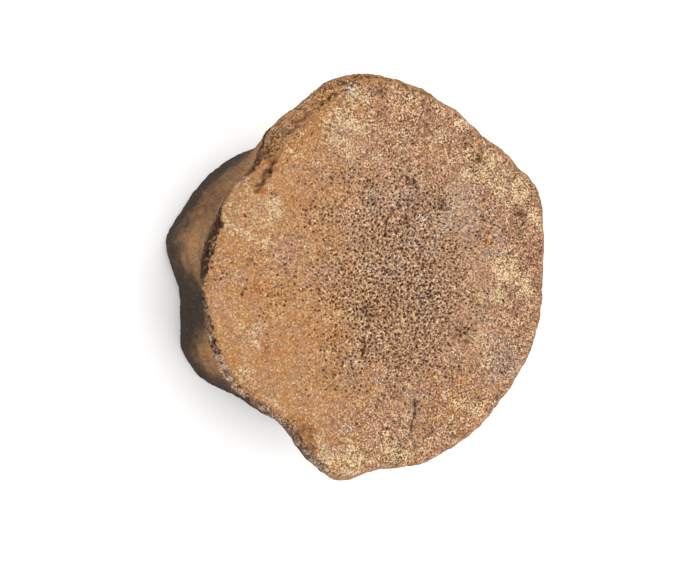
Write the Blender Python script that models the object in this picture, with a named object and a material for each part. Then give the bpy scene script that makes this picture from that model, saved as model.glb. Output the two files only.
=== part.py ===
"""Fossil tail vertebra of a large plant-eating dinosaur, at life size, in metres with +Z up.

One bone, one solid: the spool-shaped body of a mid-tail vertebra (the centrum), with its neural arch broken away.
It stands on its far end face, so the near end face looks up. The origin is on the floor under the bone's middle.
Angles run anticlockwise from +X, seen from above. The way up the animal's back is DORSAL, close to +Y.
"""
import math

import bpy
import numpy as np

# Driving sizes of the centrum
LENGTH = 0.055            # floor to the near end face
DORSAL = 98.5             # degrees, the way up the animal's back
AROUND = 120              # points round each ring

# The outline of the near rim, corner by corner from the right side: (degrees, metres from the axis)
NEAR_RIM = [
    (0, 0.0371), (14, 0.0383), (27, 0.0404), (40, 0.0386), (52, 0.0375), (66, 0.0384),
    (80, 0.0399), (93, 0.0411), (104, 0.0405), (115, 0.0378), (129, 0.0360), (141, 0.0333),
    (150, 0.0343), (163, 0.0348), (180, 0.0361), (192, 0.0362), (212, 0.0373), (225, 0.0359),
    (235, 0.0357), (247, 0.0391), (258, 0.0414), (267, 0.0393), (281, 0.0394), (292, 0.0390),
    (308, 0.0381), (322, 0.0373), (334, 0.0375), (347, 0.0374),
]
# The outline of the far rim, alike on both sides of the back: (degrees from DORSAL, metres from the axis)
FAR_RIM_HALF = [
    (0, 0.0358), (22, 0.0364), (38, 0.0370), (55, 0.0373), (69, 0.0379), (76, 0.0360),
    (88, 0.0339), (99, 0.0352), (109, 0.0373), (121, 0.0375), (137, 0.0353), (152, 0.0362),
    (163, 0.0370), (180, 0.0356),
]

# The near end face: a shallow dish inside a worn, rounded rim
NEAR_DISH = 0.0016        # depth of the dish
NEAR_DROP = 0.0022        # how far under the face the rim is widest, on the sound side
WORN_DROP = 0.0032        # how much further under it is on the worn side
NEAR_LIP = 0.0018         # how far in from the rim the face begins, on the sound side
WORN_LIP = 0.0026         # how much further in it begins on the worn side
WORN_SIDE = 120           # degrees, the middle of the worn side
WORN_HALF = 62            # degrees from there to where the wear ends
WORN_CORNER = 1.5         # roundness of the rim's edge: 1 is a flat bevel and 2 a round

# The far end face: a deeper dish inside a rim that stands on four worn flats
FAR_DISH = 0.0042
FAR_DISH_SHAPE = 1.5      # 1 is a round bowl, and more leaves a flatter edge
FAR_LIP = 0.0032          # from the rim's widest line in to the worn flats
FAR_FLAT = 0.0028         # width of a worn flat
FAR_WIDEST = 0.0038       # height of the far rim's widest line
FLATS = 4
FLATS_START = 35          # degrees, the middle of the first flat
FAR_LIFT = 0.0007         # how far the rim clears the floor between the flats

# The sides: pinched in at the waist, with low keels, ridges and grooves along them.
# _AT is in degrees from DORSAL on both sides, and _HALF is half the width in degrees.
WAIST = 0.155             # share of the radius lost half way along
WAIST_SHAPE = 1.25        # 1 is a plain arc, and more keeps the ends wide
KEEL_AT, KEEL_HALF, KEEL_HIGH = 71, 9, 0.0017
FLANK_AT, FLANK_HALF, FLANK_DEEP = 94, 11, 0.0011
RIDGE_AT, RIDGE_HALF, RIDGE_HIGH = 160, 8, 0.0015
VENTRAL_HALF, VENTRAL_DEEP = 10, 0.0014

# The back: the floor of the neural canal between the broken bases of the arch
CANAL_HALF, CANAL_DEEP = 6.5, 0.0024
PEDICLE_AT, PEDICLE_HALF, PEDICLE_HIGH = 15.5, 8, 0.0040
PEDICLE_FROM, PEDICLE_TO, PEDICLE_FADE = 0.016, 0.036, 0.008
PEDICLE_SHAPE = 3         # 2 is a round hump, and more gives it a flatter top and steeper sides
BREAK_ROUGH = 0.0008      # unevenness of the broken tops
BREAK_LONG, BREAK_WIDE = 0.017, 60      # length in metres and width in degrees of its waves

# The facets for the chevron bone, cut in the lower edge of both rims
CHEVRON_AT, CHEVRON_HALF = 160, 13
CHEVRON_NEAR, CHEVRON_FAR = 0.0030, 0.0022
CHEVRON_REACH = 0.010     # how far from the rim a facet's slope runs

# Low, broad lumps of the weathered surface: two pairs of crossed waves, which fade out at both rims
LUMP_HIGH = 0.00045
LUMP_FADE = 0.008         # distance from the near rim to full lumps, and half of that from the far rim

FAR_RINGS, LIP_RINGS, SIDE_RINGS, NEAR_RINGS = 8, 4, 20, 9

BONE_COLOUR = (0.42, 0.25, 0.14, 1.0)
BONE_ROUGHNESS = 0.85


def closed_curve(points, degrees):
    """Radius at each angle on a smooth closed curve through the points, by cubic Hermite spans."""
    at, radius = np.array(points, float).T
    at = np.concatenate([at - 360, at, at + 360])
    radius = np.tile(radius, 3)
    slope = np.gradient(radius, at)
    first = np.searchsorted(at, degrees, side="right") - 1
    span = at[first + 1] - at[first]
    t = (degrees - at[first]) / span
    return (
        radius[first] * (1 + 2 * t) * (1 - t) ** 2
        + slope[first] * span * t * (1 - t) ** 2
        + radius[first + 1] * t ** 2 * (3 - 2 * t)
        + slope[first + 1] * span * t ** 2 * (t - 1)
    )


def both_sides(half):
    """The closed outline whose two sides both follow the half outline, from the back round to the belly."""
    left = [(DORSAL + away, radius) for away, radius in half]
    right = [(DORSAL - away, radius) for away, radius in half[-2:0:-1]]
    return left + [(degrees + 360, radius) for degrees, radius in right]


def between(degrees, middle):
    """Signed angle from middle, from -180 to 180 degrees."""
    return (degrees - middle + 180) % 360 - 180


def hump(distance, half, power=2):
    """A smooth hump: 1 in the middle, 0.37 at half, and 0 far away. A higher power flattens its top."""
    return np.exp(-(abs(distance) / half) ** power)


def ramp(value, start, end):
    """0 up to start and 1 from end on, with a smooth rise between."""
    share = np.clip((value - start) / (end - start), 0, 1)
    return share * share * (3 - 2 * share)


def worn_share(degrees):
    """How worn the near rim is at each angle: 1 in the middle of the worn side, 0 on the sound side."""
    return np.clip(np.cos(np.radians(between(degrees, WORN_SIDE) * 90 / WORN_HALF)), 0, 1)


def far_lift(degrees):
    """Height of the far rim over the floor: 0 on each worn flat and FAR_LIFT between them."""
    wave = -np.cos(np.radians((degrees - FLATS_START) * FLATS))
    return FAR_LIFT * np.clip(wave, 0, None)


def face_ring(edge, share):
    """Radius of a ring of an end face, which follows the face's edge but grows round towards the middle."""
    middle = edge.mean()
    return share * (middle + (edge - middle) * share * share)


def side_relief(degrees, height):
    """How far the side stands out from the plain spool, from its keels, ridges, grooves and broken arch."""
    off = between(degrees, DORSAL)
    away = np.abs(off)
    relief = KEEL_HIGH * hump(away - KEEL_AT, KEEL_HALF)
    relief -= FLANK_DEEP * hump(away - FLANK_AT, FLANK_HALF)
    relief += RIDGE_HIGH * hump(away - RIDGE_AT, RIDGE_HALF)
    relief -= VENTRAL_DEEP * hump(180 - away, VENTRAL_HALF)
    relief -= CANAL_DEEP * hump(off, CANAL_HALF)
    rise = ramp(height, PEDICLE_FROM - PEDICLE_FADE, PEDICLE_FROM)
    fall = 1 - ramp(height, PEDICLE_TO, PEDICLE_TO + PEDICLE_FADE)
    stump = hump(away - PEDICLE_AT, PEDICLE_HALF, PEDICLE_SHAPE) * rise * fall
    rough = np.sin(math.tau * (height / BREAK_LONG + off / BREAK_WIDE))
    return relief + stump * (PEDICLE_HIGH + BREAK_ROUGH * rough)


def chevron_cut(degrees, from_rim):
    """How far the facet for the chevron bone cuts in, at a distance along the side from the rim."""
    away = np.abs(between(degrees, DORSAL))
    return hump(away - CHEVRON_AT, CHEVRON_HALF) * np.clip(1 - from_rim / CHEVRON_REACH, 0, 1) ** 2


def lumps(x, y, z):
    """How far the weathered surface stands out at each point, from its low, broad lumps."""
    aslant = np.sin(math.tau * (x / 0.027 + y / 0.041)) * np.sin(math.tau * (y / 0.025 - x / 0.046 + 0.3))
    upright = np.sin(math.tau * (y / 0.021 - z / 0.031 + 0.1)) * np.sin(math.tau * (z / 0.025 + x / 0.023 + 0.6))
    return LUMP_HIGH * (aslant + upright)


def weathered(rings, degrees):
    """The rings moved out by the lumps, square to the bone's outline, but not near either rim."""
    radius, height = np.array(rings).transpose(1, 0, 2)
    turn = np.radians(degrees)
    out = lumps(radius * np.cos(turn), radius * np.sin(turn), height)
    across, up = np.gradient(radius, axis=0), np.gradient(height, axis=0)
    long = np.hypot(across, up)
    from_near = np.hypot(radius - closed_curve(NEAR_RIM, degrees), height - LENGTH)
    from_far = np.hypot(radius - closed_curve(both_sides(FAR_RIM_HALF), degrees), height)
    out *= ramp(from_near, LUMP_FADE / 2, LUMP_FADE) * ramp(from_far, LUMP_FADE, 2 * LUMP_FADE)
    return list(zip(radius + out * up / long, height - out * across / long))


def meridian(degrees):
    """The rings of the bone, from the far face's middle to the near face's: (radius, height) at each angle."""
    near = closed_curve(NEAR_RIM, degrees)
    far = closed_curve(both_sides(FAR_RIM_HALF), degrees)
    worn = worn_share(degrees)
    lift = far_lift(degrees)
    drop = NEAR_DROP + WORN_DROP * worn
    lip = NEAR_LIP + WORN_LIP * worn
    widest = LENGTH - drop
    rings = []

    flat_edge = far - FAR_LIP - FAR_FLAT
    for k in range(1, FAR_RINGS + 1):
        u = k / FAR_RINGS
        rings.append((face_ring(flat_edge, u), FAR_DISH * (1 - u * u) ** FAR_DISH_SHAPE + lift * u ** 4))
    for k in range(LIP_RINGS + 1):
        turn = math.pi / 2 * k / LIP_RINGS
        out = far - FAR_LIP * (1 - math.sin(turn))
        rings.append((out, lift + (FAR_WIDEST - lift) * (1 - math.cos(turn))))

    for k in range(1, SIDE_RINGS):
        t = k / SIDE_RINGS
        arc = math.sin(math.pi * t)
        height = FAR_WIDEST + t * (widest - FAR_WIDEST)
        side = (far + (near - far) * t) * (1 - WAIST * arc ** WAIST_SHAPE)
        side += math.sqrt(arc) * side_relief(degrees, height)
        side -= arc * CHEVRON_FAR * chevron_cut(degrees, height - FAR_WIDEST)
        side -= arc * CHEVRON_NEAR * chevron_cut(degrees, widest - height)
        rings.append((side, height))

    for k in range(LIP_RINGS + 1):
        turn = math.pi / 2 * k / LIP_RINGS
        inward = lip * (1 - math.cos(turn) ** (2 / WORN_CORNER))
        rings.append((near - inward, widest + drop * math.sin(turn) ** (2 / WORN_CORNER)))
    for k in range(NEAR_RINGS - 1, 0, -1):
        u = k / NEAR_RINGS
        rings.append((face_ring(near - lip, u), np.full(AROUND, LENGTH - NEAR_DISH * (1 - u * u))))
    return rings


def bone_mesh():
    """The closed surface of the bone, lofted ring by ring and closed with a fan at the middle of each end face."""
    degrees = np.arange(AROUND) * 360 / AROUND
    turn = np.radians(degrees)
    rings = weathered(meridian(degrees), degrees)
    points = [(0.0, 0.0, FAR_DISH - lumps(0, 0, FAR_DISH))]
    for radius, height in rings:
        points += list(zip(radius * np.cos(turn), radius * np.sin(turn), height))
    middle = LENGTH - NEAR_DISH
    points.append((0.0, 0.0, middle + lumps(0, 0, middle)))

    faces = []
    last = len(points) - 1
    top = 1 + (len(rings) - 1) * AROUND
    for i in range(AROUND):
        j = (i + 1) % AROUND
        faces.append((0, 1 + j, 1 + i))
        faces.append((last, top + i, top + j))
        for k in range(len(rings) - 1):
            low = 1 + k * AROUND
            high = low + AROUND
            faces.append((low + i, low + j, high + j, high + i))
    mesh = bpy.data.meshes.new("centrum")
    mesh.from_pydata([tuple(map(float, point)) for point in points], [], faces)
    mesh.shade_smooth()
    return mesh


def bone_material():
    """Matt, brown, mineral-stained fossil bone."""
    material = bpy.data.materials.new("fossil_bone")
    material.use_nodes = True
    shader = material.node_tree.nodes["Principled BSDF"]
    shader.inputs["Base Color"].default_value = BONE_COLOUR
    shader.inputs["Roughness"].default_value = BONE_ROUGHNESS
    shader.inputs["Metallic"].default_value = 0.0
    return material


def main():
    """Builds the vertebra in a collection of its own."""
    for old in list(bpy.data.objects):
        bpy.data.objects.remove(old)
    collection = bpy.data.collections.new("tail_vertebra")
    bpy.context.scene.collection.children.link(collection)
    bone = bpy.data.objects.new("centrum", bone_mesh())
    bone.data.materials.append(bone_material())
    collection.objects.link(bone)


main()
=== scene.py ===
import math

import bpy
import numpy as np
from mathutils import Matrix, Vector


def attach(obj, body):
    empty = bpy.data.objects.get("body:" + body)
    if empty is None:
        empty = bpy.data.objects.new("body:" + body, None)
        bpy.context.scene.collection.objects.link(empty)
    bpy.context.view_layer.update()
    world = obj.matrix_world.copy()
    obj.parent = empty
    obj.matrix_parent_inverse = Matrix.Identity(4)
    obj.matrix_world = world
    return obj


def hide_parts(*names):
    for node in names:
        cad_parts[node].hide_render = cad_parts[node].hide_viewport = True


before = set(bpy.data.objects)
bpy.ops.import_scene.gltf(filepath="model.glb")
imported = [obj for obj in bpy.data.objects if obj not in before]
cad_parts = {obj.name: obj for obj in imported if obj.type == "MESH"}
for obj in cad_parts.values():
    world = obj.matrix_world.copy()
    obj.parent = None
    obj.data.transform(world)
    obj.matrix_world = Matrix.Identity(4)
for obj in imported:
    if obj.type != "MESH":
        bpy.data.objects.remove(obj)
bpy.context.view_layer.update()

# The side wall: the dense outer bone round the vertebra's body, in a lower and an upper half. It has
# lengthwise grain, blood vessel holes and drying cracks. It is dark brown, with painted shade that darkens
# it towards the far rim, in the left flank's groove and pinch and just under the near rim, and painted
# light that lightens lobes lower on the side. It is one with the end faces, which it meets ring to ring.
LENGTH = 0.055
DORSAL = 98.5
AROUND = 1136
NEAR_RIM = [
    (0, 0.0371), (14, 0.0383), (27, 0.0404), (40, 0.0386), (52, 0.0375), (66, 0.0384),
    (80, 0.0399), (93, 0.0411), (104, 0.0405), (115, 0.0378), (129, 0.0360), (141, 0.0333),
    (150, 0.0343), (163, 0.0348), (180, 0.0361), (192, 0.0362), (212, 0.0373), (225, 0.0359),
    (235, 0.0357), (247, 0.0391), (258, 0.0414), (267, 0.0393), (281, 0.0394), (292, 0.0390),
    (308, 0.0381), (322, 0.0373), (334, 0.0375), (347, 0.0374),
]
FAR_RIM_HALF = [
    (0, 0.0358), (22, 0.0364), (38, 0.0370), (55, 0.0373), (69, 0.0379), (76, 0.0360),
    (88, 0.0339), (99, 0.0352), (109, 0.0373), (121, 0.0375), (137, 0.0353), (152, 0.0362),
    (163, 0.0370), (180, 0.0356),
]
NEAR_DISH = 0.0016
NEAR_DROP, WORN_DROP = 0.0022, 0.0032
NEAR_LIP, WORN_LIP = 0.0018, 0.0026
WORN_SIDE, WORN_HALF, WORN_CORNER = 120, 62, 1.5
FAR_DISH, FAR_DISH_SHAPE = 0.0042, 1.5
FAR_LIP, FAR_FLAT, FAR_WIDEST = 0.0032, 0.0028, 0.0038
FLATS, FLATS_START, FAR_LIFT = 4, 35, 0.0007
WAIST, WAIST_SHAPE = 0.155, 1.25
KEEL_AT, KEEL_HALF, KEEL_HIGH = 71, 9, 0.0017
FLANK_AT, FLANK_HALF, FLANK_DEEP = 94, 11, 0.0011
RIDGE_AT, RIDGE_HALF, RIDGE_HIGH = 160, 8, 0.0015
VENTRAL_HALF, VENTRAL_DEEP = 10, 0.0014
CANAL_HALF, CANAL_DEEP = 6.5, 0.0024
PEDICLE_AT, PEDICLE_HALF, PEDICLE_HIGH, PEDICLE_SHAPE = 15.5, 8, 0.0040, 3
PEDICLE_FROM, PEDICLE_TO, PEDICLE_FADE = 0.016, 0.036, 0.008
BREAK_ROUGH, BREAK_LONG, BREAK_WIDE = 0.0008, 0.017, 60
CHEVRON_AT, CHEVRON_HALF, CHEVRON_REACH = 160, 13, 0.010
CHEVRON_NEAR, CHEVRON_FAR = 0.0030, 0.0022
LUMP_HIGH, LUMP_FADE = 0.00045, 0.008


def closed_curve(points, degrees):
    """Radius at each angle on a smooth closed curve through the points, by cubic Hermite spans."""
    at, radius = np.array(points, float).T
    at = np.concatenate([at - 360, at, at + 360])
    radius = np.tile(radius, 3)
    slope = np.gradient(radius, at)
    first = np.searchsorted(at, degrees, side="right") - 1
    span = at[first + 1] - at[first]
    t = (degrees - at[first]) / span
    return (
        radius[first] * (1 + 2 * t) * (1 - t) ** 2
        + slope[first] * span * t * (1 - t) ** 2
        + radius[first + 1] * t ** 2 * (3 - 2 * t)
        + slope[first + 1] * span * t ** 2 * (t - 1)
    )


def both_sides(half):
    """The closed outline whose two sides both follow the half outline, from the back round to the belly."""
    left = [(DORSAL + away, radius) for away, radius in half]
    right = [(DORSAL - away, radius) for away, radius in half[-2:0:-1]]
    return left + [(degrees + 360, radius) for degrees, radius in right]


def between(degrees, middle):
    """Signed angle from middle, from -180 to 180 degrees."""
    return (degrees - middle + 180) % 360 - 180


def hump(distance, half, power=2):
    """e to the minus (distance / half) to the power: 1 in the middle, 0.37 at half, and 0 far away."""
    return np.exp(-(abs(distance) / half) ** power)


def ramp(value, start, end):
    """0 up to start and 1 from end on, with a smooth rise between: t squared times 3 less twice t."""
    share = np.clip((value - start) / (end - start), 0, 1)
    return share * share * (3 - 2 * share)


def worn_share(degrees):
    """How worn the near rim is: the cosine of the angle from the worn side's middle, 0 on the sound side."""
    return np.clip(np.cos(np.radians(between(degrees, WORN_SIDE) * 90 / WORN_HALF)), 0, 1)


def broken_arch(degrees, height):
    """1 on the two broken bases of the arch and 0 off them: a flat hump across, times a rise and a fall."""
    away = np.abs(between(degrees, DORSAL))
    rise = ramp(height, PEDICLE_FROM - PEDICLE_FADE, PEDICLE_FROM)
    fall = 1 - ramp(height, PEDICLE_TO, PEDICLE_TO + PEDICLE_FADE)
    return hump(away - PEDICLE_AT, PEDICLE_HALF, PEDICLE_SHAPE) * rise * fall


def side_relief(degrees, height):
    """How far the side stands out from a plain spool: the sum of keels, ridges, grooves and broken arch."""
    off = between(degrees, DORSAL)
    away = np.abs(off)
    relief = KEEL_HIGH * hump(away - KEEL_AT, KEEL_HALF)
    relief -= FLANK_DEEP * hump(away - FLANK_AT, FLANK_HALF)
    relief += RIDGE_HIGH * hump(away - RIDGE_AT, RIDGE_HALF)
    relief -= VENTRAL_DEEP * hump(180 - away, VENTRAL_HALF)
    relief -= CANAL_DEEP * hump(off, CANAL_HALF)
    rough = np.sin(math.tau * (height / BREAK_LONG + off / BREAK_WIDE))
    return relief + broken_arch(degrees, height) * (PEDICLE_HIGH + BREAK_ROUGH * rough)


def chevron_cut(degrees, from_rim):
    """How far the facet for the chevron bone cuts in, at a distance along the side from the rim."""
    away = np.abs(between(degrees, DORSAL))
    return hump(away - CHEVRON_AT, CHEVRON_HALF) * np.clip(1 - from_rim / CHEVRON_REACH, 0, 1) ** 2


def profile(degrees, s):
    """(radius, height) of the bone at each angle and each step s along its outline, from the far face up.

    s is 0 at the middle of the far dish, 1 at its edge, 2 at the end of its worn flat, 3 at the far rim,
    4 at the near rim, 5 at the edge of the near face and 6 at its middle. A dish is a paraboloid, a lip a
    quarter of a rounded turn, and the side a spool plus its relief.
    """
    near = closed_curve(NEAR_RIM, degrees)
    far = closed_curve(both_sides(FAR_RIM_HALF), degrees)
    worn = worn_share(degrees)
    lift = FAR_LIFT * np.clip(-np.cos(np.radians((degrees - FLATS_START) * FLATS)), 0, None)
    drop = NEAR_DROP + WORN_DROP * worn
    lip = NEAR_LIP + WORN_LIP * worn
    widest = LENGTH - drop
    every = np.arange(0, 360, 3)
    far_middle = closed_curve(both_sides(FAR_RIM_HALF), every).mean() - FAR_LIP - FAR_FLAT
    near_middle = (closed_curve(NEAR_RIM, every) - NEAR_LIP - WORN_LIP * worn_share(every)).mean()

    u = np.clip(s, 0, 1)
    edge = far - FAR_LIP - FAR_FLAT
    radius = u * (far_middle + (edge - far_middle) * u * u)
    height = FAR_DISH * (1 - u * u) ** FAR_DISH_SHAPE + lift * u ** 4
    on = s > 1
    radius = np.where(on, edge + FAR_FLAT * np.clip(s - 1, 0, 1), radius)
    height = np.where(on, lift, height)
    turn = math.pi / 2 * np.clip(s - 2, 0, 1)
    on = s > 2
    radius = np.where(on, far - FAR_LIP * (1 - np.sin(turn)), radius)
    height = np.where(on, lift + (FAR_WIDEST - lift) * (1 - np.cos(turn)), height)

    t = np.clip(s - 3, 0, 1)
    arc = np.clip(np.sin(math.pi * t), 0, 1)
    level = FAR_WIDEST + t * (widest - FAR_WIDEST)
    side = (far + (near - far) * t) * (1 - WAIST * arc ** WAIST_SHAPE)
    side += np.sqrt(arc) * side_relief(degrees, level)
    side -= arc * CHEVRON_FAR * chevron_cut(degrees, level - FAR_WIDEST)
    side -= arc * CHEVRON_NEAR * chevron_cut(degrees, widest - level)
    on = s > 3
    radius = np.where(on, side, radius)
    height = np.where(on, level, height)

    turn = math.pi / 2 * np.clip(s - 4, 0, 1)
    on = s > 4
    bevel = 2 / WORN_CORNER
    radius = np.where(on, near - lip * (1 - np.clip(np.cos(turn), 0, 1) ** bevel), radius)
    height = np.where(on, widest + drop * np.sin(turn) ** bevel, height)
    u = 6 - s
    on = s > 5
    radius = np.where(on, u * (near_middle + (near - lip - near_middle) * u * u), radius)
    height = np.where(on, LENGTH - NEAR_DISH * (1 - u * u), height)
    return radius, height


def lumps(x, y, z):
    """How far the weathered surface stands out: the products of two pairs of crossed waves, added."""
    aslant = np.sin(math.tau * (x / 0.027 + y / 0.041)) * np.sin(math.tau * (y / 0.025 - x / 0.046 + 0.3))
    upright = np.sin(math.tau * (y / 0.021 - z / 0.031 + 0.1))
    upright = upright * np.sin(math.tau * (z / 0.025 + x / 0.023 + 0.6))
    return LUMP_HIGH * (aslant + upright)


def place(degrees, s, proud=0):
    """Points of the bone: its profile at each angle, moved out square to the outline by its lumps and proud.

    The lumps fade out near both rims, by the distance from each rim's corner.
    """
    radius, height = profile(degrees, s)
    before, after = profile(degrees, s - 0.01), profile(degrees, s + 0.01)
    across, up = after[0] - before[0], after[1] - before[1]
    long = np.hypot(across, up)
    turn = np.radians(degrees)
    from_near = np.hypot(radius - closed_curve(NEAR_RIM, degrees), height - LENGTH)
    from_far = np.hypot(radius - closed_curve(both_sides(FAR_RIM_HALF), degrees), height)
    uneven = lumps(radius * np.cos(turn), radius * np.sin(turn), height)
    uneven *= ramp(from_near, LUMP_FADE / 2, LUMP_FADE) * ramp(from_far, LUMP_FADE, 2 * LUMP_FADE)
    proud = proud + uneven
    radius = radius + proud * up / long
    height = np.maximum(height - proud * across / long, 0)
    return np.stack([radius * np.cos(turn), radius * np.sin(turn), height], axis=-1)


LATTICE_WAVES = np.array([12.9898, 78.233, 37.719])
LATTICE_SHIFT, LATTICE_LARGE = 4.1414, 43758.5453


def lattice(corner, seed):
    """A steady random number from 0 to 1 for each whole-numbered corner: the fraction of a large sine."""
    waves = LATTICE_WAVES[:corner.shape[-1]]
    mixed = np.sin(corner @ waves + seed * LATTICE_SHIFT) * LATTICE_LARGE
    return mixed - np.floor(mixed)


TURNED = np.array(Matrix.Rotation(0.7, 3, Vector((1, 2, 3))))


def cloud(points, size, seed):
    """Soft lumps about size apart, -1 to 1: lattice numbers blended between the corners of turned cubes."""
    scaled = points @ TURNED / size + 0.37 * seed
    low = np.floor(scaled)
    share = scaled - low
    share = share * share * (3 - 2 * share)
    total = 0
    for step in np.ndindex(2, 2, 2):
        total = total + np.where(step, share, 1 - share).prod(axis=-1) * lattice(low + step, seed)
    return 2 * total - 1


def cells(points, size, seed, spread=1.0):
    """Distance from each point to the nearest of the scattered seeds, and that seed's own number from 0 to 1.

    Each square or cube, size wide, has one seed, no further from its middle than half of spread.
    """
    scaled = points / size
    base = np.floor(scaled)
    nearest = np.full(len(points), 9.0)
    tag = np.zeros(len(points))
    for step in np.ndindex((3,) * points.shape[-1]):
        cube = base + step - 1
        centre = np.stack([lattice(cube, seed + 10 * k) for k in range(points.shape[-1])], axis=-1)
        centre = cube + 0.5 + spread * (centre - 0.5)
        distance = np.linalg.norm(scaled - centre, axis=-1)
        tag = np.where(distance < nearest, lattice(cube, seed + 50), tag)
        nearest = np.minimum(nearest, distance)
    return nearest * size, tag


VESSEL_HOLES = [
    (187, 26, 0.8), (171, 33, 0.5), (8, 27, 0.9), (23, 21, 0.5), (262, 25, 0.9), (279, 31, 0.6),
    (96, 29, 0.7),
]
SIDE_CRACKS = [
    (3, 12, 34, 0.10), (37, 30, 47, 0.08), (68, 8, 24, 0.09), (129, 9, 30, 0.09), (142, 27, 46, 0.11),
    (178, 20, 41, 0.08), (214, 10, 29, 0.09), (233, 26, 48, 0.12), (251, 14, 37, 0.09), (290, 9, 26, 0.08),
    (318, 24, 45, 0.11), (343, 15, 33, 0.08),
]
# Painted shade just under the near rim, by angle: how much darker the side gets there, deepest on the left
# flank. The same numbers also spread the rim's edge wear.
RIM_SHADE_AND_WEAR = [
    (0, 0.35), (30, 0.40), (60, 0.20), (85, 0.20), (100, 0.25), (112, 0.14), (124, 0.30), (134, 0.55),
    (142, 0.75), (150, 0.60), (156, 0.55), (162, 0.85), (179, 0.88), (187, 0.72), (195, 0.55), (203, 0.22),
    (213, 0.16), (228, 0.34), (243, 0.46), (250, 0.30), (262, 0.12), (300, 0.20), (330, 0.38),
]
FINDINGS = ("relief", "pit_shade", "pale", "grey", "rust", "umber_and_shade", "grit")


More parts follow.
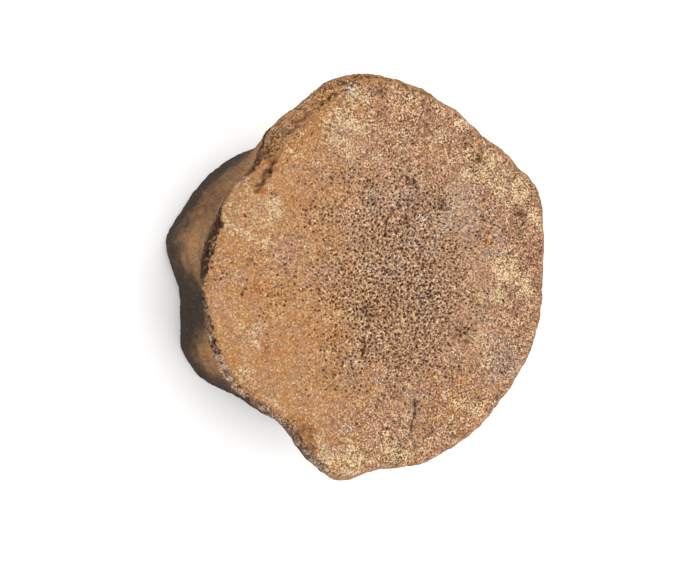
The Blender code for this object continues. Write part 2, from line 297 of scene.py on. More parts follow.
def side_findings(points, degrees, s):
    """What the side wall shows, a column for each of FINDINGS: relief in millimetres, the rest 0 to 1.

    Relief is soft lumps, stretched clouds for the lengthwise grain, and pits. A crack is a narrow hump
    round a swaying line at its listed (degrees, from height, to height, half its width), and a vessel hole
    a hump round its listed (degrees, height, radius), in millimetres. Pits, cracks, slots and vessel holes
    are darkened with painted shade. The umber finding is the side's own dark brown plus painted shade,
    deepest low down towards the far rim, in the left flank's groove and pinch and just under the near
    rim, and less on lobes lower on the side, which carry painted light. hidden is 1 on the sides turned
    away from that flank, which are cleaner and scuffed.
    """
    q = points * 1000
    t = np.clip(s - 3, 0, 1)
    away = np.abs(between(degrees, DORSAL))
    grain = cloud(q * (1, 1, 0.14), 0.8, 3)
    distance, tag = cells(q * (1, 1, 0.4), 1.5, 7)
    slots = (1 - ramp(distance, 0.10, 0.22)) * (tag > 0.45)
    out = np.hypot(q[:, 0], q[:, 1])
    sway = 0.9 * cloud(q * (0, 0, 1), 7, 5) + 0.35 * cloud(q * (0, 0, 1), 1.7, 6)
    crack = 0
    for at, start, end, half in SIDE_CRACKS:
        wide = np.radians(between(degrees, at)) * out + sway
        along = ramp(q[:, 2], start, start + 6) * (1 - ramp(q[:, 2], end - 6, end))
        crack = np.maximum(crack, hump(wide, half) * along)
    hole = 0
    for at, high, radius in VESSEL_HOLES:
        wide = np.radians(between(degrees, at)) * out
        hole = np.maximum(hole, hump(np.hypot(wide, (q[:, 2] - high) * 0.6), radius, 3))

    ragged = 0.42 * cloud(q, 3.2, 8) + 0.25 * cloud(q, 1.1, 19)
    broken = ramp(broken_arch(degrees, points[:, 2]) + ragged, 0.25, 1.0)
    # Darker just under the near rim: painted shade under its overhang, which also widens the worn edge there.
    rim_shade_and_wear = np.interp(degrees, *np.array(RIM_SHADE_AND_WEAR).T, period=360) * ramp(s, 3.86, 3.97)
    edge = np.maximum(ramp(t, 0.90, 1.0), 1 - ramp(t, 0.0, 0.07))
    hidden = ramp(np.abs(between(degrees, 190)), 62, 80)
    scuff = ramp(cloud(q, 6, 84) + 0.6 * cloud(q, 1.7, 85), 0.50, 0.80) * hidden
    worn = np.maximum(np.maximum(broken, 0.6 * scuff), edge * ramp(cloud(q, 3.5, 9) + rim_shade_and_wear, -0.05, 0.6))
    distance, tag = cells(q, 1.15, 11)
    sponge = (1 - ramp(distance, 0.22, 0.50)) * worn * (0.4 + 0.6 * tag)

    relief = 0.10 * cloud(q, 8.5, 1) + 0.13 * cloud(q, 3.1, 2) + 0.09 * grain + 0.05 * cloud(q, 0.45, 4)
    relief += worn * (0.25 * cloud(q, 1.4, 12) - 0.15) - 0.55 * sponge - 0.2 * broken
    relief -= 0.22 * crack + 0.16 * slots * (1 - worn) + 1.6 * hole
    # Painted shade in the sponge cells, cracks, slots and vessel holes.
    pit_shade = np.clip(0.8 * sponge + 0.7 * crack + 0.55 * slots * (1 - worn) + hole, 0, 1)

    patch = 0.20 * cloud(q, 11, 13) + 0.10 * cloud(q, 3.4, 14) + 0.04 * cloud(q, 0.9, 18)
    # Painted light: a band of lobes lower on the side is made lighter and warmer, and so is a spot on the
    # left flank. Painted shade: the side is made darker towards the far rim and in the left flank's groove.
    lit_lobe = hump(t - 0.35, 0.35) * (1 - hump(away - FLANK_AT, 12))
    low = (1 - ramp(t + 0.5 * patch + 0.05 * cloud(q, 2.6, 20), 0.03, 0.27)) * (1 - 0.35 * hidden)
    lit_spot = hump(between(degrees, 212), 9) * hump(t - 0.45, 0.3)
    shaded_hollow = hump(away - FLANK_AT, 12) * (1 - 0.7 * hidden)
    umber_and_shade = 0.59 + 0.55 * low - 0.20 * lit_lobe - 0.32 * lit_spot + 0.38 * shaded_hollow - 0.12 * hidden
    # Painted shade in the pinch of the left flank, at 178 degrees.
    umber_and_shade += 0.28 * hump(between(degrees, 178), 8) * ramp(t, 0.20, 0.45)
    umber_and_shade = np.clip(umber_and_shade + patch + (0.07 + 0.08 * hidden) * grain, 0, 1)
    umber_and_shade = umber_and_shade * (1 - ramp(s, 3.86, 3.97)) + rim_shade_and_wear * (0.8 + patch)
    rust = np.clip(0.42 * lit_lobe + 0.32 + patch + 0.1 * ramp(s, 3.86, 3.97), 0, 1)
    grey = np.clip(0.30 + 0.5 * cloud(q, 10, 15) + 0.3 * grain + 0.2 * rim_shade_and_wear, 0, 1)
    pale = 0.18 * broken * ramp(cloud(q, 3, 16), -0.2, 0.6) + 0.4 * ramp(cloud(q, 6, 17), 0.4, 0.9)
    pale = np.clip(pale, 0, 1)
    return np.stack([relief, pit_shade, pale, grey, rust, np.clip(umber_and_shade, 0, 1), 0.25 + 0.6 * worn], axis=-1)


def band(start, end, rows):
    """A band round the bone: AROUND points on each even step from start to end, and the quads between."""
    degrees = np.tile(np.arange(AROUND) * 360 / AROUND, rows + 1)
    s = np.repeat(np.linspace(start, end, rows + 1), AROUND)
    i = np.arange(AROUND)
    j = (i + 1) % AROUND
    low = np.arange(rows)[:, None] * AROUND
    quads = np.stack([low + i, low + j, low + AROUND + j, low + AROUND + i], axis=-1).reshape(-1, 4)
    return degrees, s, quads, i, i + rows * AROUND


LINING = 0.0025
COARSE = 8


def lining(first, last, levels, middle, start):
    """The wall inside a piece, which closes it: coarse rings LINING deep, joined to its edges or a pole.

    first and last are the point numbers of the skin's lowest and highest edge, or None where it has a pole.
    """
    count = AROUND // COARSE
    k = np.arange(count)
    after = (k + 1) % count
    degrees = k * 360 / count
    rings = [place(degrees, np.full(count, level), -LINING) for level in levels]
    points = np.concatenate(rings + [[middle]])
    fine = (k[:, None] * COARSE + np.arange(COARSE + 1)) % AROUND
    faces = []
    top = start + (len(levels) - 1) * count
    pole = start + len(levels) * count
    if first is None:
        faces += np.stack([start + k, start + after, np.full(count, pole)], axis=-1).tolist()
    else:
        faces += np.column_stack([first[fine][:, ::-1], start + k, start + after]).tolist()
    for row in range(len(levels) - 1):
        low = start + row * count
        faces += np.stack([low + after, low + k, low + count + k, low + count + after], axis=-1).tolist()
    if last is None:
        faces += np.stack([top + after, top + k, np.full(count, pole)], axis=-1).tolist()
    else:
        faces += np.column_stack([top + after, top + k, last[fine]]).tolist()
    used = points if first is None or last is None else points[:-1]
    return used, faces


def bone_piece(name, grid, findings, levels, middle=(0, 0, 0)):
    """One piece of the skin: the grid's points moved out by their relief, with findings as attributes."""
    degrees, s, quads, first, last = grid
    seen = findings(place(degrees, s), degrees, s)
    skin = place(degrees, s, seen[:, 0] / 1000)
    inside, faces = lining(first, last, levels, middle, len(skin))
    mesh = bpy.data.meshes.new(name)
    mesh.from_pydata(np.concatenate([skin, inside]).tolist(), [], quads.tolist() + faces)
    mesh.shade_smooth()
    for column, finding in list(enumerate(FINDINGS))[1:]:
        values = np.zeros(len(mesh.vertices))
        values[:len(skin)] = seen[:, column]
        mesh.attributes.new(finding, "FLOAT", "POINT").data.foreach_set("value", values)
    rim = np.zeros(len(mesh.vertices), bool)
    for edge in (first, last):
        if edge is not None:
            rim[edge] = True
    pairs = np.empty(len(mesh.edges) * 2, int)
    mesh.edges.foreach_get("vertices", pairs)
    sharp = mesh.attributes.new("sharp_edge", "BOOLEAN", "EDGE")
    sharp.data.foreach_set("value", rim[pairs.reshape(-1, 2)].all(axis=1))
    piece = bpy.data.objects.new(name, mesh)
    bpy.context.scene.collection.objects.link(piece)
    mesh.materials.append(fossil_bone)
    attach(piece, "root")
    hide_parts("centrum")


class Wire:
    """A socket of a material's nodes. Arithmetic on it adds Math nodes, and node() adds any other type."""

    def __init__(self, tree, socket=None):
        self.tree = tree
        self.socket = socket

    def node(self, kind, settings, values, output=0):
        """Adds a node, makes its settings, gives its sockets values or links, and returns one output."""
        made = self.tree.nodes.new(kind)
        for key, value in settings.items():
            setattr(made, key, value)
        for key, value in values.items():
            if isinstance(value, Wire):
                self.tree.links.new(value.socket, made.inputs[key])
            else:
                made.inputs[key].default_value = value
        return Wire(self.tree, made.outputs[output])

    def maths(self, operation, first, second):
        return self.node("ShaderNodeMath", {"operation": operation}, {0: first, 1: second})

    def __add__(self, other):
        return self.maths("ADD", self, other)

    __radd__ = __add__

    def __sub__(self, other):
        return self.maths("SUBTRACT", self, other)

    def __rsub__(self, other):
        return self.maths("SUBTRACT", other, self)

    def __mul__(self, other):
        return self.maths("MULTIPLY", self, other)

    __rmul__ = __mul__

    def __gt__(self, other):
        return self.maths("GREATER_THAN", self, other)

    def steps(self, low, high):
        """0 where the value is under low and 1 where it is over high, with a smooth rise between."""
        values = {0: self, 1: low, 2: high}
        return self.node("ShaderNodeMapRange", {"interpolation_type": "SMOOTHSTEP"}, values)

    def mix(self, before, after):
        """The colour before where this value is 0, and after where it is 1."""
        return self.node("ShaderNodeMix", {"data_type": "RGBA"}, {0: self, 6: before, 7: after}, 2)


BASE = (0.318, 0.166, 0.096, 1)
CREAM = (0.480, 0.338, 0.190, 1)
PURPLE_GREY = (0.315, 0.198, 0.142, 1)
OCHRE = (0.345, 0.165, 0.060, 1)
RUST = (0.290, 0.105, 0.028, 1)
UMBER = (0.030, 0.018, 0.010, 1)
# Painted shade: the near-black of pores, cracks and holes.
PIT_SHADE = (0.044, 0.013, 0.004, 1)
MINERAL = (0.500, 0.480, 0.420, 1)

material = bpy.data.materials.new("fossil_bone")
material.use_nodes = True
material.node_tree.nodes.clear()
make = Wire(material.node_tree)
here = make.node("ShaderNodeTexCoord", {}, {}, "Object")


def seen_as(finding):
    """The value of one of the mesh's findings."""
    return make.node("ShaderNodeAttribute", {"attribute_name": finding}, {}, "Fac")


def speckle(size, detail):
    """Noise with lumps about size metres apart, spread out to run from 0 to 1."""
    values = {"Vector": here, "Scale": 1 / size, "Detail": detail, "Roughness": 0.6}
    return make.node("ShaderNodeTexNoise", {}, values, 0).steps(0.34, 0.66)


def thin_lines(size, level, wide):
    """Thin lines about size metres apart, 1 on them: Noise near its level, by the square of its distance."""
    noise = make.node("ShaderNodeTexNoise", {}, {"Vector": here, "Scale": 1 / size, "Detail": 1.0}, 0)
    off = noise - level
    return 1 - (off * off).steps(0.0, wide)


mottle = speckle(0.0024, 4.0)
dust = speckle(0.0011, 3.0)
grain = speckle(0.00038, 1.5)
grit = seen_as("grit")
pit_shade = seen_as("pit_shade")
greyed = seen_as("grey") + 0.4 * mottle + 0.15 * dust + 0.25 * grain
colour = greyed.steps(0.5, 1.2).mix(BASE, PURPLE_GREY)
ochre = seen_as("rust") + 0.32 * mottle + 0.16 * dust + 0.22 * grain
colour = ochre.steps(0.3, 1.0).mix(colour, OCHRE)
colour = ochre.steps(1.0, 1.5).mix(colour, RUST)
colour = (seen_as("pale") + 0.25 * dust + 0.65 * grain).steps(0.45, 1.35).mix(colour, CREAM)
# Dark brown: the bone's own stains plus, on the side wall, painted shade and painted light.
colour = (seen_as("umber_and_shade") + 0.18 * (dust - 0.5)).steps(0.0, 1.05).mix(colour, UMBER)
scattered = {"Vector": here, "Scale": 1 / 0.0013}
specks = make.node("ShaderNodeTexVoronoi", {}, scattered, "Distance")
chosen = make.node("ShaderNodeTexVoronoi", {}, scattered, "Color")
chosen = make.node("ShaderNodeSeparateColor", {}, {0: chosen}, 0)
crystals = (1 - specks.steps(0.08, 0.22)) * (chosen > 0.72) * grit
colour = (0.6 * crystals).mix(colour, MINERAL)
fibre = thin_lines(0.0011, 0.5, 0.0012)
gap = thin_lines(0.0008, 0.52, 0.0014)
lengthwise = make.node("ShaderNodeMapping", {}, {"Vector": here, "Scale": (1, 1, 0.12)})
streak = make.node("ShaderNodeTexNoise", {}, {"Vector": lengthwise, "Scale": 1 / 0.0006, "Detail": 2.0}, 0)
streak = streak.steps(0.34, 0.66) * (1 - grit)
shade = 1.02 + 0.22 * (streak - 0.35)
shade = shade + (0.10 + 0.90 * grit) * (grain - 0.5) + (0.06 + 0.14 * grit) * (dust - 0.5)
shade = shade + (0.12 + 0.40 * grit) * (fibre - gap)
colour = make.node("ShaderNodeVectorMath", {"operation": "SCALE"}, {0: colour, 3: shade}, 0)
# Painted shade in pores, cracks, holes and the crevice on the rim.
colour = (0.97 * pit_shade).mix(colour, PIT_SHADE)
bumps = grain + 0.8 * dust + streak
height = make.node("ShaderNodeBump", {}, {"Strength": 0.6, "Distance": 0.00015, "Height": bumps}, 0)
finish = {"Base Color": colour, "Roughness": 0.72 + 0.20 * grit, "Normal": height, "Specular IOR Level": 0.2}
shader = make.node("ShaderNodeBsdfPrincipled", {}, finish, 0)
output = material.node_tree.nodes.new("ShaderNodeOutputMaterial")
material.node_tree.links.new(shader.socket, output.inputs["Surface"])
fossil_bone = material

SIDE_ROWS = 80
bone_piece("side_wall_lower", band(3, 3.5, SIDE_ROWS), side_findings, np.linspace(3.02, 3.48, 5))
bone_piece("side_wall_upper", band(3.5, 4, SIDE_ROWS), side_findings, np.linspace(3.52, 3.98, 5))


# The far face: the end of the body that the bone rests on, a dish of open spongy bone inside a thick lip.
# Four worn flats on the lip touch the floor. It is stained darker than the near face, and shreds of the
# dense bone remain on it.
def disc(steps, shares):
    """A round end as a square grid drawn out to a circle: each square ring becomes one ring of points.

    The ring's share of the way from the pole to the edge is turned into s by interpolation between steps.
    """
    half = AROUND // 8
    line = np.arange(-half, half + 1)
    b, a = np.meshgrid(line, line, indexing="ij")
    a, b = a.ravel(), b.ravel()
    ring = np.maximum(np.abs(a), np.abs(b))
    wide = np.abs(a) >= np.abs(b)
    main = np.where(wide, a, b)
    slope = np.where(wide, b, a) / np.where(main == 0, 1, main)
    degrees = np.where(wide, 45 * slope, 90 - 45 * slope) + np.where(main < 0, 180, 0)
    degrees = degrees % 360
    s = np.interp(ring / half, shares, steps)
    row = 2 * half + 1
    corner = (np.arange(row - 1)[:, None] * row + np.arange(row - 1)).ravel()
    quads = np.stack([corner, corner + 1, corner + row + 1, corner + row], axis=-1)
    edge = np.flatnonzero(ring == half)
    edge = edge[np.argsort(np.round(degrees[edge] * AROUND / 360) % AROUND)]
    return degrees, s, quads, edge


def far_findings(points, degrees, s):
    """What the far face shows: lumps, open cells in spongy bone, and patches of dense bone over them."""
    q = points * 1000
    sound = ramp(cloud(q, 8, 21) + 0.4 * cloud(q, 2, 22), 0.0, 0.5)
    warped = q[:, :2] + 0.25 * np.stack([cloud(q, 0.9, 23), cloud(q, 0.9, 24)], axis=-1)
    distance, tag = cells(warped, 1.05, 25)
    open_cell = (1 - ramp(distance, 0.16, 0.42)) * ramp(tag, 0.15, 0.5) * (1 - 0.85 * sound)
    relief = 0.10 * cloud(q, 9, 26) + 0.15 * cloud(q, 3, 27) + 0.06 * cloud(q, 0.6, 28)
    relief += 0.12 * sound - 0.5 * open_cell
    pale = 0.7 * ramp(cloud(q, 5, 29), 0.2, 0.7)
    grey = np.clip(0.4 + 0.5 * cloud(q, 7, 30), 0, 1)
    rust = np.clip(0.35 + 0.5 * cloud(q, 6, 31), 0, 1)
    umber_and_shade = np.clip(0.42 + 0.4 * cloud(q, 8, 32) + 0.3 * ramp(s, 1, 2.4), 0, 1)
    # The second column is painted shade in the open cells.
    face = np.stack([relief, 0.85 * open_cell, pale, grey, rust, umber_and_shade, 0.7 - 0.4 * sound], axis=-1)
    share = ramp(s, 2.2, 3.0)[:, None]
    return face * (1 - share) + side_findings(points, degrees, s) * share


FAR_STEPS, FAR_SHARES = (0, 1, 2, 3), (0, 0.80, 0.875, 1)
degrees, s, quads, edge = disc(FAR_STEPS, FAR_SHARES)
grid = degrees, s, quads[:, ::-1], None, edge
bone_piece("far_face", grid, far_findings, (2.3,), (0, 0, FAR_DISH + LINING))

# The near face: the worn end of the body, which looks up. Wear has opened its spongy bone into pores, most
# of them right of the middle. Minerals stain it ochre, cream and purple-grey, and hairline cracks, a slit
# beside the worn rim and single deeper pits mark it. Places are (x, y) in millimetres, seen from above.
PORE_FIELD = (5, -3, 13, 19)
PALE_PATCHES = [
    (-23.5, 11.6, 5.5, 0.7), (-26.6, 8.1, 5.0, 0.55), (-6.4, 36.1, 2.6, 1.0), (-8.3, 28.9, 5.0, 0.75),
    (23.0, 22.5, 3.8, 1.0), (28.6, 18.4, 4.0, 0.9), (27.1, 0.3, 3.2, 1.0), (31.4, -2.4, 2.6, 0.9),
    (-26.8, -10.5, 4.0, 0.5), (-20.7, -24.3, 4.0, 0.5), (-12.1, -36.0, 5.5, 0.75), (3.5, -33.9, 7.0, 0.65),
    (-29.0, 18.0, 4.0, 0.6), (-30.5, 13.0, 3.0, 0.6), (16.0, -27.0, 7.0, 0.40), (-7.2, -36.2, 4.5, 0.9),
    (24.5, -3.6, 3.0, 0.85), (28.5, 4.3, 2.0, 0.6), (22.7, -14.2, 3.0, 0.5), (-4.9, -14.2, 3.0, 0.5),
    (19.0, 20.7, 2.5, 0.8), (8.3, 36.6, 2.2, 0.5), (-28.5, -17.5, 3.0, 0.35), (18.1, 31.1, 1.8, 0.9),
    (20.5, -28.5, 2.2, 0.8), (32.5, 12.5, 2.2, 0.6), (-3.5, 1.0, 2.5, 0.5), (13.5, 25.5, 3.0, 0.5),
    (-15.0, 22.0, 4.0, 0.4),
]
GREY_PATCHES = [
    (17.0, 13.0, 7.0, 0.95), (25.3, 5.3, 4.0, 0.9), (27.1, -17.5, 6.0, 0.8), (-3.5, -6.6, 4.0, 0.8),
    (10.1, -3.9, 5.0, 0.7), (5.5, 16.6, 4.5, 0.8), (-1.8, 15.4, 3.0, 0.9), (-10.5, 34.2, 2.4, 1.0),
    (6.8, -26.4, 2.6, 0.9), (6.1, -30.9, 1.8, 0.8), (1.0, 4.0, 9.0, 0.55), (10.0, 8.0, 8.0, 0.6),
    (-12.0, 3.0, 7.0, 0.35), (14.0, 29.0, 2.2, 0.9), (-28.7, -18.2, 2.5, 0.6), (-4.0, -17.0, 4.0, 0.5),
    (20.0, -9.0, 5.0, 0.5),
]
RUST_PATCHES = [
    (-25.0, -3.0, 9.0, 0.6), (-18.0, -14.0, 10.0, 0.6), (-23.9, -15.1, 4.0, 0.8), (-16.0, -27.6, 3.2, 0.6),
    (-14.0, -30.4, 2.6, 0.6), (-17.0, 28.5, 2.6, 1.0), (-21.5, 22.5, 2.2, 1.0), (-24.3, 14.9, 2.0, 0.9),
    (16.6, 14.4, 1.5, 0.55), (23.9, 8.8, 2.2, 0.55), (11.0, -21.5, 1.6, 0.8), (-14.0, 16.0, 8.0, 0.35),
    (16.0, -26.0, 8.0, 0.6), (-2.0, -24.0, 7.0, 0.4), (6.0, 33.0, 5.0, 0.3),
]
DARK_PATCHES = [
    (6.1, 18.3, 1.8, 1.0), (4.8, 15.0, 1.5, 0.9), (-1.8, 15.4, 1.2, 1.1), (-3.5, -6.6, 2.2, 0.85),
    (10.1, -3.9, 1.9, 0.7), (-1.2, 36.9, 2.0, 0.8), (7.6, -7.6, 2.0, 0.5), (22.8, 11.5, 2.2, 0.5),
    (-8.0, 37.5, 1.6, 0.5), (30.2, 11.5, 2.6, 0.65), (6.5, -26.0, 1.3, 0.4), (18.4, -11.2, 2.4, 0.75),
    (26.7, -18.8, 2.0, 0.65), (20.8, 24.7, 1.6, 0.65), (-2.4, 18.2, 1.7, 0.9), (12.3, 14.2, 1.8, 0.8),
    (4.9, 10.3, 1.5, 0.8), (16.2, 28.0, 2.2, 0.6), (-22.8, 14.9, 1.4, 0.7), (3.0, -37.0, 1.7, 0.8),
]
CRACKS = [
    [(1.4, 11.5), (0.9, 9.6), (0.3, 7.9)],
    [(-3.7, -12.3), (-3.8, -14.0), (-4.1, -15.7)],
    [(-28.1, 11.5), (-27.7, 10.9)],
    [(6.9, -24.8), (6.8, -27.6), (6.1, -31.5)],
]
SLIT = [(-22.4, 21.6), (-23.3, 19.8), (-24.3, 18.4), (-25.6, 15.9)]
FACE_ENDS = [
    (0, 4.85), (45, 4.85), (60, 4.70), (95, 4.75), (108, 4.92), (131, 4.90), (138, 4.35), (145, 4.20),
    (158, 4.20), (163, 4.50), (172, 4.62), (183, 4.50), (198, 4.50), (207, 4.92), (215, 4.60), (228, 4.65),
    (237, 4.92), (250, 4.92), (256, 4.60), (300, 4.60), (330, 4.85),
]
SINGLE_PITS = [
    (-28.5, -3.7, 0.30), (-27.9, -2.7, 0.22), (-21.3, 0.0, 0.28), (25.0, -25.1, 0.35), (9.1, 3.3, 0.3),
]


def patches(points, places, seed, astray=1.8):
    """How far the listed (x, y, radius, strength) cover each point: the highest of their bells, broken up.

    Clouds move each point astray first and speckle the result.
    """
    x = points[:, 0] + astray * (cloud(points, 4.2, seed) + 0.5 * cloud(points, 1.6, seed + 1))
    y = points[:, 1] + astray * (cloud(points, 4.2, seed + 2) + 0.5 * cloud(points, 1.6, seed + 3))
    total = np.zeros(len(points))
    for at_x, at_y, radius, strength in places:
        total = np.maximum(total, strength * hump(np.hypot(x - at_x, y - at_y), radius))
    speckled = total + 0.40 * cloud(points, 1.3, seed + 4) + 0.25 * cloud(points, 0.65, seed + 5)
    return ramp(speckled, 0.20, 0.95)


def from_line(points, corners):
    """Distance in plan from each point to the line through the corners."""
    best = np.full(len(points), 99.0)
    for start, end in zip(np.array(corners), np.array(corners)[1:]):
        along = end - start
        share = np.clip((points[:, :2] - start) @ along / (along @ along), 0, 1)
        best = np.minimum(best, np.linalg.norm(points[:, :2] - start - share[:, None] * along, axis=-1))
    return best


def face_edge(q, degrees):
    """The step s where the face's texture ends on the rim: the listed ones, made ragged by three clouds."""
    ragged = 0.13 * cloud(q, 1.1, 62) + 0.13 * cloud(q, 2.6, 61) + 0.12 * cloud(q, 0.6, 63)
    return np.clip(np.interp(degrees, *np.array(FACE_ENDS).T, period=360) - ragged, 4.12, 4.86)


def broken_side(degrees):
    """1 on the left side, where the rim is broken, and 0 on the sound side, with a smooth rise and fall."""
    return ramp(degrees, 100, 112) * (1 - ramp(degrees, 250, 258))


def near_findings(points, degrees, s):
    """What the near face shows, in the same columns as the side wall's findings.

    Pores and pricks are round the scattered seeds of a warped plane. A field of two bells, the dark patches
    and a cloud says how many seeds open and how wide. Cracks and the slit are humps round their lines, and
    each of the stains is its patches plus clouds. Pores, pricks, cracks, the slit, the single pits and the
    dark patches are darkened with painted shade. Outside face_edge the side wall's findings take over.
    """
    q = points * 1000
    x, y, wide, high = PORE_FIELD
    across = np.hypot(q[:, 0], q[:, 1])
    dark = patches(q, DARK_PATCHES, 42, 0.8)
    field = hump(np.hypot((q[:, 0] - x) / wide, (q[:, 1] - y) / high), 1.0, 2.5)
    field = 0.10 + 0.38 * hump(np.hypot(q[:, 0] - 3, q[:, 1] - 1), 25, 4) + 0.50 * field + 0.5 * dark
    field = np.clip(field + 0.22 * cloud(q, 4.5, 41), 0, 1.2)
    warped = q @ TURNED[:, :2] + 0.14 * np.stack([cloud(q, 0.75, 43), cloud(q, 0.75, 44)], axis=-1)
    distance, tag = cells(warped, 0.82, 45, 0.86)
    width = 0.10 + 0.075 * field + 0.10 * (tag * 7.3 % 1)
    pores = (1 - ramp(distance, 0.6 * width, 1.3 * width)) * ramp(field - 0.67 * tag, -0.05, 0.20)
    pores = pores * (0.65 + 0.35 * (tag * 3.1 % 1))
    distance, tag = cells(warped, 0.47, 46, 0.9)
    pricks = (1 - ramp(distance, 0.05, 0.17)) * (tag > 0.40) * (0.5 + 0.7 * field)

    crack = np.zeros(len(q))
    wavy = q + np.stack([0.3 * cloud(q, 0.9, 47), 0.3 * cloud(q, 0.9, 48), 0 * q[:, 0]], axis=-1)
    for corners in CRACKS:
        crack = np.maximum(crack, hump(from_line(wavy, corners), 0.20))
    slit = hump(from_line(wavy, SLIT) + 0.35 * cloud(q, 0.8, 56), 0.72, 3)
    slit = slit * (0.72 + 0.45 * cloud(q, 0.7, 49))
    hole = np.zeros(len(q))
    for at_x, at_y, radius in SINGLE_PITS:
        hole = np.maximum(hole, hump(np.hypot(q[:, 0] - at_x, q[:, 1] - at_y), radius, 3))

    inner = face_edge(q, degrees)
    left = broken_side(degrees)
    margin = ramp(across, 22, 33) * ramp(q[:, 0], -14, 0)
    grit = 0.28 + 0.40 * margin + 0.24 * ramp(q[:, 0], -22, 0) + 0.12 * cloud(q, 5, 65)
    grit = grit + 0.25 * np.clip(field, 0, 1)
    relief = 0.10 * cloud(q, 9, 50) + 0.15 * cloud(q, 3, 51) + 0.10 * cloud(q, 1.1, 52)
    relief += 0.08 * grit * cloud(q, 0.45, 53) + 0.05 * cloud(q, 0.7, 66) + 0.25 * margin * cloud(q, 1.9, 69)
    relief -= 0.40 * pores + 0.12 * pricks + 0.25 * crack + 0.8 * slit + 0.5 * hole + 0.25 * dark
    # Painted shade in the pores, pricks, cracks, slit, single pits and dark patches.
    pit_shade = 1.15 * pores + 0.65 * pricks + crack + 1.1 * slit + hole + 0.22 * dark
    patchy = 0.17 * cloud(q, 1.3, 54) + 0.2 * cloud(q, 3.5, 55)
    blotchy = margin * (0.6 + 0.4 * ramp(q[:, 1], -20, 0))
    blotchy = blotchy * (0.55 * cloud(q, 1.9, 78) + 0.35 * cloud(q, 0.9, 79))
    pale = 0.75 * patches(q, PALE_PATCHES, 80) + 0.18 * np.clip(field, 0, 1) + 0.6 * patchy + 0.8 * blotchy
    grey = 0.9 * patches(q, GREY_PATCHES, 90) - 0.8 * patchy + 0.25 * ramp(q[:, 0], -24, -4) - 0.10
    rust = 0.8 * patches(q, RUST_PATCHES, 100) + 0.25 * cloud(q, 4.0, 67) + 0.30 * ramp(-q[:, 0], -6, 14)
    rust += 0.5 * left * hump(s - inner - 0.12, 0.12) - 0.3 * blotchy
    # Painted shade: a dark line along the face's edge on the broken left side.
    pit_shade = pit_shade + 0.55 * left * hump(s - inner, 0.05) * ramp(cloud(q, 2.5, 68), -0.4, 0.3)
    chip = hump(between(degrees, 243), 8) * (1 - ramp(s + 0.03 * cloud(q, 1.6, 57), 5.03, 5.11))
    relief += chip * ramp(s, 5.0, 5.01) * (0.25 * cloud(q, 1.1, 58) - 0.15)
    umber_and_shade = 0.26 * dark + 0.16 * patchy + 0.02 + 0.75 * np.clip(-blotchy, 0, 1)
    umber_and_shade += chip * (0.45 + 0.35 * cloud(q, 0.7, 59))
    face = np.clip(np.stack([pit_shade, pale, grey, rust, umber_and_shade, grit], axis=-1), 0, 1)
    face = np.column_stack([relief, face])
    share = ramp(s - inner, -0.10, 0.12)[:, None]
    return face * share + side_findings(points, degrees, s) * (1 - share)


MIDDLE_SHARE = 0.62
BORDER_ROWS = 84
NEAR_DEEP = 0.0046
NEAR_STEPS, NEAR_SHARES = (6, 6 - MIDDLE_SHARE), (0, 1)
degrees, s, quads, edge = disc(NEAR_STEPS, NEAR_SHARES)
grid = degrees, s, quads, edge, None
bone_piece("near_face_middle", grid, near_findings, (5.42,), (0, 0, LENGTH - NEAR_DEEP))
bone_piece("near_face_border", band(5, 6 - MIDDLE_SHARE, BORDER_ROWS), near_findings, (5.08, 5.34))

# The near rim: the lip between the face and the side, of dense bone where it is sound. Its left side is
# broken and worn back to rough spongy bone: a wide bevel at the upper left, a chipped edge at the lower
# left and a crevice between them, painted dark as shade. A dark line of painted shade runs along its
# corner with the side on the left.
RIM_ROWS = 40


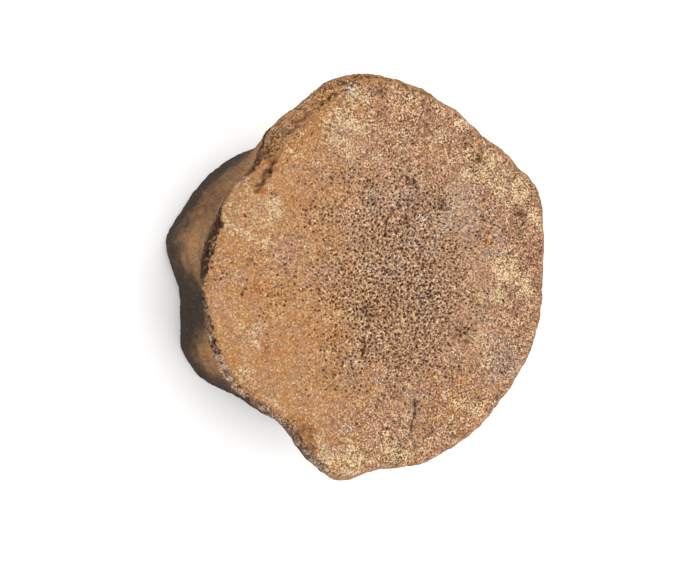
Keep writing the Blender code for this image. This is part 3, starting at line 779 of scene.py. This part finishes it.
def rim_findings(points, degrees, s):
    """What the rim shows: the near face's findings, plus rough spongy bone where the lip is broken or worn.

    worn, crevice and chipped are three stretches of the rim by angle, outside is the part past face_edge, and
    across falls to 0 at both edges of the band, where the neighbouring pieces join on. The crevice stretch is
    painted dark as shade, and corner is a dark line of painted shade along the rim's corner on the left.
    """
    found = near_findings(points, degrees, s)
    q = points * 1000
    across = np.sin(math.pi * np.clip(s - 4, 0, 1)) ** 0.5
    worn = ramp(worn_share(degrees) + 0.2 * cloud(q, 4, 71), 0.1, 0.5)
    worn = worn * (1 - hump(between(degrees, 150), 7, 4))
    shaded_crevice = hump(between(degrees, 170), 10, 4)
    chipped = ramp(degrees, 181, 187) * (1 - ramp(degrees, 251, 257))
    inner = face_edge(q, degrees)
    outside = 1 - ramp(s - inner, -0.10, 0.12)
    rough = np.maximum(np.maximum(worn, shaded_crevice), chipped)
    distance, tag = cells(q, 0.95, 72)
    open_cell = (1 - ramp(distance, 0.18, 0.42)) * ramp(tag, 0.3, 0.6) * rough * outside
    fibres = cloud(q * (0.45, 1, 0.6), 0.8, 76)
    left = broken_side(degrees)
    steep = hump(between(degrees, 148), 16, 4)
    # Painted shade: a dark line in the corner between the rim and the side on the broken left.
    corner = hump(s - 4.05 - 0.09 * steep - 0.05 * cloud(q, 1.6, 81), 0.08 + 0.05 * steep)
    coarse = 0.34 * cloud(q, 1.6, 73) + 0.22 * cloud(q, 0.7, 74) - 0.4 * open_cell
    soft = 0.12 * cloud(q, 4.5, 75) + 0.12 * cloud(q, 1.8, 77) + 0.30 * steep * cloud(q, 1.2, 88)
    found[:, 0] += across * rough * coarse
    found[:, 0] += soft * across
    flecks = ramp(cloud(q, 0.9, 82) + 0.6 * cloud(q, 0.45, 86), 0.0, 0.5)
    # Painted shade: the open cells, the crevice, the rough fibres and the corner line are darkened here, and
    # the crevice again in the dark brown below.
    found[:, 1] += 0.6 * open_cell + 0.55 * outside * shaded_crevice * (1 - flecks)
    found[:, 1] += 0.6 * outside * rough * ramp(fibres, 0.1, 0.6) + 0.65 * left * corner
    found[:, 2] += (0.50 * chipped * ramp(-fibres, -0.2, 0.4) + 0.35 * shaded_crevice * flecks) * outside
    found[:, 5] += outside * (0.08 * chipped + shaded_crevice * (0.62 - 0.75 * flecks))
    found[:, 3] += outside * (0.15 * worn + 0.25 * chipped)
    found[:, 4] += outside * (0.12 * worn - 0.5 * chipped)
    found[:, 6] += 0.4 * rough * outside
    found[:, 1:] = np.clip(found[:, 1:], 0, 1)
    return found


bone_piece("near_rim", band(4, 5, RIM_ROWS), rim_findings, (4.05, 4.5, 4.95))

# The mineral grains: pale crystals up to half a millimetre across, which grew in the pores. They stand in
# clusters on the near face, most of them in its grey patches, and a few lie alone.
GRAIN_CLUSTERS = [
    (-6.9, 36.6, 1.4, 44), (-4.3, 35.6, 1.0, 10), (-9.3, 28.1, 1.8, 10), (-4.0, 26.0, 1.5, 10),
    (-16.4, 27.3, 0.8, 3), (-6.5, 24.7, 0.9, 7), (-0.4, 23.3, 0.6, 4), (-13.3, 20.6, 1.6, 9),
    (-4.5, 19.6, 0.7, 4), (4.5, 27.7, 1.2, 8), (8.9, 11.5, 0.9, 12), (14.2, 10.6, 1.4, 12),
    (15.2, 13.8, 1.0, 8), (24.7, 9.3, 1.0, 5), (-3.0, 2.0, 0.9, 9), (-5.3, 2.6, 0.6, 6),
    (12.5, -1.0, 0.9, 9), (2.6, -19.0, 0.4, 5), (-0.8, -21.0, 0.4, 4), (-8.5, -14.2, 0.6, 3),
    (-7.9, -28.7, 1.4, 12), (7.9, -28.7, 0.6, 3), (15.8, -15.4, 0.8, 5), (20.5, -2.0, 1.8, 14),
    (23.7, -11.9, 1.6, 12), (18.5, -5.0, 1.0, 6), (-17.8, -23.3, 0.4, 2), (-21.0, 7.9, 0.5, 3),
    (-11.0, -33.0, 2.5, 16), (26.0, 15.0, 2.5, 10),
]
CRYSTAL_SIDES, CRYSTAL_WIDE, CRYSTAL_CORNER = 6, 0.8, 0.45
LONE_GRAINS = 150
GRAIN_SMALL, GRAIN_LARGE = 0.00010, 0.00026
GRAIN_REACH = 0.0032
MILKY = (0.56, 0.56, 0.53, 1)
STAINED = (0.46, 0.38, 0.29, 1)


def crystal():
    """A stubby crystal: a ring of points above its middle and one below, and a point at each end."""
    sides = CRYSTAL_SIDES
    turn = np.arange(sides) * math.tau / sides
    ring = np.stack([CRYSTAL_WIDE * np.cos(turn), CRYSTAL_WIDE * np.sin(turn), 0 * turn], axis=-1)
    corner = (0, 0, CRYSTAL_CORNER)
    points = np.concatenate([ring - corner, ring + corner, [(0, 0, -1), (0, 0, 1)]])
    i = np.arange(sides)
    j = (i + 1) % sides
    below, above = np.full(sides, 2 * sides), np.full(sides, 2 * sides + 1)
    around = [(j, i, below), (i, j, sides + j), (i, sides + j, sides + i), (sides + i, sides + j, above)]
    return points, np.concatenate([np.stack(corners, axis=-1) for corners in around])


def scattered_grains(skin):
    """Crystals at chance places round each listed one, turned by chance and set in the nearest skin."""
    chance = np.random.default_rng(11)
    lone = chance.uniform(-1, 1, (LONE_GRAINS, 2)) * (24, 28) + (5, 0)
    clustered = [chance.normal((x, y), spread * 0.7, (count, 2)) for x, y, spread, count in GRAIN_CLUSTERS]
    spots = np.concatenate([lone] + clustered) / 1000
    nearest = [np.argmin(((skin[:, :2] - spot) ** 2).sum(axis=1)) for spot in spots]
    turned = np.linalg.qr(chance.normal(size=(len(spots), 3, 3)))[0]
    turned *= np.linalg.det(turned)[:, None, None]
    size = chance.uniform(GRAIN_SMALL, GRAIN_LARGE, (len(spots), 1, 1))
    points, faces = crystal()
    points = (points * size) @ turned + skin[nearest][:, None]
    faces = faces + np.arange(len(spots))[:, None, None] * points.shape[1]
    return points.reshape(-1, 3), faces.reshape(-1, 3)


def mesh_points(piece):
    """The points of a piece's mesh, one row each."""
    points = np.empty(len(piece.data.vertices) * 3)
    piece.data.vertices.foreach_get("co", points)
    return points.reshape(-1, 3)


tops = [mesh_points(bpy.data.objects[name]) for name in ("near_face_middle", "near_face_border", "near_rim")]
tops = np.concatenate(tops)
points, faces = scattered_grains(tops[tops[:, 2] > LENGTH - GRAIN_REACH])
mesh = bpy.data.meshes.new("mineral_grains")
mesh.from_pydata(points.tolist(), [], faces.tolist())
material = bpy.data.materials.new("pale_mineral")
material.use_nodes = True
shader = material.node_tree.nodes["Principled BSDF"]
make = Wire(material.node_tree)
here = make.node("ShaderNodeTexCoord", {}, {}, "Object")
milky = make.node("ShaderNodeTexNoise", {}, {"Vector": here, "Scale": 1 / 0.0020, "Detail": 2.0}, 0)
milky = milky.steps(0.40, 0.60)
colour = milky.mix(MILKY, STAINED)
material.node_tree.links.new(colour.socket, shader.inputs["Base Color"])
shader.inputs["Roughness"].default_value = 0.45
mesh.materials.append(material)
piece = bpy.data.objects.new("mineral_grains", mesh)
bpy.context.scene.collection.objects.link(piece)
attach(piece, "root")
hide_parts("centrum")

# The stage: a plain pale floor under soft studio light, from a large lamp overhead and a weaker one to the
# lower right. The camera is above the bone and to its left, so it sees the near face and the left flank.
FLOOR_HALF = 3
corners = [(x * FLOOR_HALF, y * FLOOR_HALF, 0) for x, y in ((-1, -1), (1, -1), (1, 1), (-1, 1))]
floor_mesh = bpy.data.meshes.new("floor")
floor_mesh.from_pydata(corners, [], [(0, 1, 2, 3)])
floor_look = bpy.data.materials.new("pale_floor")
floor_look.use_nodes = True
floor_shader = floor_look.node_tree.nodes["Principled BSDF"]
floor_shader.inputs["Base Color"].default_value = (0.92, 0.92, 0.92, 1)
floor_shader.inputs["Roughness"].default_value = 0.9
floor_mesh.materials.append(floor_look)
floor = bpy.data.objects.new("floor", floor_mesh)
bpy.context.scene.collection.objects.link(floor)


def lamp(name, at, size, watts, colour):
    """A square soft lamp that looks at the bone."""
    data = bpy.data.lights.new(name, "AREA")
    data.size = size
    data.energy = watts
    data.color = colour
    made = bpy.data.objects.new(name, data)
    made.location = at
    made.rotation_euler = (Vector((0, 0, 0.03)) - Vector(at)).to_track_quat("-Z", "Y").to_euler()
    bpy.context.scene.collection.objects.link(made)


lamp("key_lamp", (0.10, 0.14, 1.00), 0.6, 5.8, (1.0, 0.985, 0.96))
lamp("fill_lamp", (0.35, -0.5, 0.8), 0.8, 1.5, (0.96, 0.98, 1.0))
world = bpy.data.worlds.new("studio")
world.use_nodes = True
world.node_tree.nodes["Background"].inputs["Color"].default_value = (1, 1, 1, 1)
world.node_tree.nodes["Background"].inputs["Strength"].default_value = 1.0
bpy.context.scene.world = world
bpy.context.scene.view_settings.view_transform = "Standard"

TILT = math.radians(18.4)
CAMERA_AT = (-0.060387, -0.003660, 0.214936)
CAMERA_LENS, SENSOR_WIDTH = 44.23, 36
right = Vector((math.cos(TILT), 0, math.sin(TILT)))
up = Vector((0, 1, 0))
back = Vector((-math.sin(TILT), 0, math.cos(TILT)))
camera_data = bpy.data.cameras.new("camera")
camera_data.sensor_width = SENSOR_WIDTH
camera_data.lens = CAMERA_LENS
camera_data.clip_start = 0.01
camera = bpy.data.objects.new("camera", camera_data)
camera.location = CAMERA_AT
camera.rotation_euler = Matrix((right, up, back)).transposed().to_euler()
bpy.context.scene.collection.objects.link(camera)
bpy.context.scene.camera = camera
